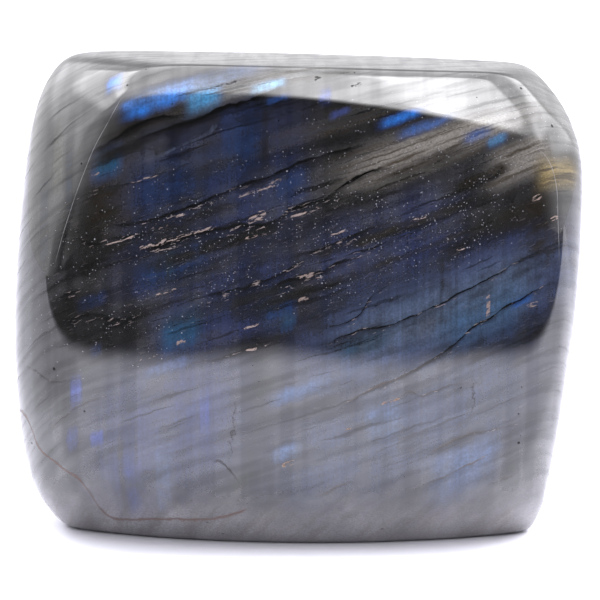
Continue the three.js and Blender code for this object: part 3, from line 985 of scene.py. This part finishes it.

# %% Haze and painted highlights on the creases
HAZE_BLUE = (0.05, 0.06, 0.09)
# Light grey of the painted highlights along the creases.
PAINTED_HIGHLIGHT_GREY = (0.18, 0.18, 0.19)
LONG_HAZE = ((130, 175), (170, 151), (215, 121))
SHORT_HAZE = ((350, 362), (366, 346), (386, 330))
# Picture points of the painted highlights on the left and right creases.
LEFT_RIDGE_HIGHLIGHT = ((123, 95), (119, 102), (107, 124), (95, 146), (85, 170), (77, 191), (70, 212), (60, 245),
             (55, 270))
RIGHT_RIDGE_HIGHLIGHT = ((528, 140), (545, 155), (556, 183), (558, 219), (559, 271))
haze = larger(upright_line(LONG_HAZE, 0.7), upright_line(SHORT_HAZE, 0.5))
shown_colour = blend(times(haze, ramp(fine_bands, 0.4, 0.6, 0.1, 0.45)), shown_colour, HAZE_BLUE)
# Painted highlight: a thin light grey line along each crease stands for the glint of its sharp ridge.
painted_ridge_highlight = larger(upright_line(LEFT_RIDGE_HIGHLIGHT, 0.085), upright_line(RIGHT_RIDGE_HIGHLIGHT, 0.075))
shown_colour = blend(times(painted_ridge_highlight, ramp(streaks, 0.3, 0.55, 0.4, 1.0), 0.5), shown_colour, PAINTED_HIGHLIGHT_GREY)
print("cracks and worn lines drawn")

# %% [markdown]
# ## The polish
# The clear coat of the material stands for the polish. Veins, cracks, pits and flakes took less of it, so
# the mirror image of the room breaks up over them. Twin bands and streaks differ a little in hardness and
# show in it as well. The left end is the most worn. A flash throws its light back as a metal does, so it
# gets a share of metal.

# %% Connect the finish
LEFT_END = (-48.0, -40.0)
broken = larger(times(flakes, 0.6), times(larger(pits, spots), 0.9), times(larger(rust, cracks), 0.55))
marked = larger(vein_shade, times(dark_lines, 0.7))
worn_side = ramp(plain[0], *LEFT_END, 0.75, 0.4)
clear = times(ramp(streaks, 0.32, 0.62, 0.78, 1.0), ramp(bands, 0.35, 0.62, 0.86, 1.0),
              less(times(marked, worn_side), 1.0), less(larger(flash, cloud_amount), 0.36), less(broken, 1.0))
stone.links.new(shown_colour, surface.inputs["Base Color"])
stone.links.new(times(flash, 0.4), surface.inputs["Metallic"])
stone.links.new(calc(stone, "MULTIPLY_ADD", streaks, 0.2, 0.32), surface.inputs["Roughness"])
stone.links.new(clear, surface.inputs["Coat Weight"])
print("stone material:", len(stone.nodes), "nodes")

# %% [markdown]
# ## Floor
# The stone stands on a plain white table. The polished front shows the far end of the lit part of the table
# as the soft line between its dark upper part and its pale lower part. A camera sees the table white all
# over. For mirrored rays its colour is painted dark past that line, a painted shade for a table in an unlit
# room. On the left and behind the stone painted shade makes the table a little dimmer, which keeps the foot
# from glowing.

# %% Floor
FLOOR_HALF = 3
LIT_FROM = -0.30
LIT_FADE = 0.07
PAINTED_UNLIT_LEVEL = 0.012
DIM_FROM = 0.09
DIM_TO = 0.17
PAINTED_SHADE_LEVEL = 0.64
TABLE_WHITE = (0.78, 0.78, 0.85, 1)
floor_mesh = bpy.data.meshes.new("floor")
corners = [(x * FLOOR_HALF, y * FLOOR_HALF, 0) for x, y in ((-1, -1), (1, -1), (1, 1), (-1, 1))]
floor_mesh.from_pydata(corners, [], [(0, 1, 2, 3)])
floor = bpy.data.objects.new("floor", floor_mesh)
bpy.context.scene.collection.objects.link(floor)
floor_material = bpy.data.materials.new("white table")
floor_material.use_nodes = True
table = floor_material.node_tree
table_place = add_node(table, "ShaderNodeTexCoord").outputs["Object"]
table_spot = add_node(table, "ShaderNodeSeparateXYZ", {0: table_place}).outputs
# Painted shade: mirrored rays see the table nearly black past LIT_FROM; the camera still sees it white.
painted_lit_table = smooth_step(table, table_spot[1], LIT_FROM, LIT_FROM + LIT_FADE, PAINTED_UNLIT_LEVEL, 1.0)
by_camera = add_node(table, "ShaderNodeLightPath").outputs["Is Camera Ray"]
to_the_left = calc(table, "MULTIPLY", table_spot[0], -1.0)
left_or_far = calc(table, "MAXIMUM", to_the_left, table_spot[1])
# Painted shade: the table's colour is darker to the left of the stone and behind it.
painted_table_shade = smooth_step(table, left_or_far, DIM_FROM, DIM_TO, 1.0, PAINTED_SHADE_LEVEL)
painted_table_brightness = calc(table, "MULTIPLY", calc(table, "MAXIMUM", painted_lit_table, by_camera), painted_table_shade)
table_surface = table.nodes["Principled BSDF"]
table.links.new(mix_colours(table, painted_table_brightness, (0, 0, 0, 1), TABLE_WHITE), table_surface.inputs["Base Color"])
table_surface.inputs["Roughness"].default_value = 0.7
table_surface.inputs["Specular IOR Level"].default_value = 0.2
floor_mesh.materials.append(floor_material)
print("floor:", 2 * FLOOR_HALF, "m wide")

# %% [markdown]
# ## Studio
# The polished faces mirror the room, so the room is part of the picture. It is dark where the camera
# stands, white behind the stone, pale at the sides and bright overhead. Each direction is given as a turn
# round the stone and a rise above level, both in degrees, and the lamps are soft patches in those two
# measures. A negative lamp is a dark panel.

# %% Node group for one soft lamp
lamp_group, given, result = new_group(
    "soft lamp", "ShaderNodeTree",
    {"Turn": 0.0, "Rise": 0.0, "Centre Turn": 0.0, "Half Turn": 10.0, "Centre Rise": 45.0, "Half Rise": 5.0,
     "Softness": 4.0, "Strength": 5.0},
    {"Level": "Float"})


def lamp_edge(measure):
    away = away_from(lamp_group, given[measure], given["Centre " + measure])
    outer = calc(lamp_group, "ADD", given["Half " + measure], given["Softness"])
    return smooth_step(lamp_group, away, given["Half " + measure], outer, 1.0, 0.0)


lamp_level = product(lamp_group, lamp_edge("Turn"), lamp_edge("Rise"), given["Strength"])
lamp_group.links.new(lamp_level, result["Level"])

# %% Studio room
ROOM_DARK = 0.07
ROOM_SIDE = 1.85
ROOM_BACK = 1.1
ROOM_TOP = 4.6
SIDE_TURNS = (14.0, 78.0)
BACK_TURNS = (145.0, 165.0)
HIGH_RISES = (30.0, 44.0)
TOP_RISES = (40.0, 60.0)
ROOM_TINT = (0.975, 0.97, 1.0, 1)
SEEN_LEVEL = 1.6
# Each lamp: turn, half turn, rise, half rise, softness in degrees, and strength.
LAMPS = [
    (24, 10, 64, 5, 20, 4.5),
    (45, 9, 64, 5, 7, 6.5),
    (-116, 22, 48.5, 1.5, 6, 6.0),
    (-116, 26, 38.5, 1.5, 5, 3.4),
    (-125, 30, 28, 5, 8, 1.2),
    (104, 30, 42, 4, 14, 6.0),
    (110, 16, 20, 4, 12, 2.5),
    (-60, 12, -1, 3, 10, -0.95),
    (180, 13, 30, 12, 6, -0.2),
    (-180, 13, 30, 12, 6, -0.2),
]
room = bpy.data.worlds.new("studio")
bpy.context.scene.world = room
room.use_nodes = True
air = room.node_tree
air.nodes.clear()
direction_seen = add_node(air, "ShaderNodeTexCoord").outputs["Generated"]
look = add_node(air, "ShaderNodeSeparateXYZ", {0: direction_seen}).outputs
room_turn = calc(air, "DEGREES", calc(air, "ARCTAN2", look[0], calc(air, "MULTIPLY", look[1], -1.0)))
room_rise = calc(air, "DEGREES", calc(air, "ARCSINE", look[2]))
sideways = calc(air, "ABSOLUTE", room_turn)
side_part = smooth_step(air, sideways, *SIDE_TURNS)
lit_part = calc(air, "MAXIMUM", side_part, smooth_step(air, room_rise, *HIGH_RISES))
back_part = smooth_step(air, sideways, *BACK_TURNS, ROOM_SIDE, ROOM_BACK)
top_part = smooth_step(air, room_rise, *TOP_RISES)
lit_level = add_node(air, "ShaderNodeMix", {0: top_part, 2: back_part, 3: ROOM_TOP}).outputs[0]
level = add_node(air, "ShaderNodeMix", {0: lit_part, 2: ROOM_DARK, 3: lit_level}).outputs[0]
for lamp_turn, half_turn, lamp_rise, half_rise, softness, strength in LAMPS:
    lamp = add_node(air, "ShaderNodeGroup", {
        "Turn": room_turn, "Rise": room_rise, "Centre Turn": lamp_turn, "Half Turn": half_turn,
        "Centre Rise": lamp_rise, "Half Rise": half_rise, "Softness": softness, "Strength": strength},
        node_tree=lamp_group)
    level = calc(air, "ADD", level, lamp.outputs["Level"])
level = calc(air, "MAXIMUM", level, ROOM_DARK)
mirrored = add_node(air, "ShaderNodeBackground", {"Color": ROOM_TINT, "Strength": level})
seen = add_node(air, "ShaderNodeBackground", {"Color": (1, 1, 1, 1), "Strength": SEEN_LEVEL})
by_eye = add_node(air, "ShaderNodeLightPath").outputs["Is Camera Ray"]
shown = add_node(air, "ShaderNodeMixShader", {0: by_eye, 1: mirrored.outputs[0], 2: seen.outputs[0]})
air.links.new(shown.outputs[0], add_node(air, "ShaderNodeOutputWorld").inputs["Surface"])
print("studio:", len(LAMPS), "lamps")

# %% [markdown]
# ## Fill lamp
# A broad lamp above the camera lights the table and the stone's own colour, as a window would. It is left
# out of the mirror images, because the polish already shows the lamps of the room.

# %% Fill lamp
FILL_PLACE = Vector((0.1, -0.75, 0.75))
FILL_AIM = Vector((0, 0, 0.03))
fill_data = bpy.data.lights.new("fill lamp", "AREA")
fill_data.shape = "DISK"
fill_data.size = 0.5
fill_data.energy = 6.0
fill = bpy.data.objects.new("fill lamp", fill_data)
fill.location = FILL_PLACE
fill.rotation_euler = (FILL_PLACE - FILL_AIM).to_track_quat("Z", "Y").to_euler()
fill.visible_glossy = False
bpy.context.scene.collection.objects.link(fill)
print("fill lamp:", fill_data.energy, "W, not mirrored")
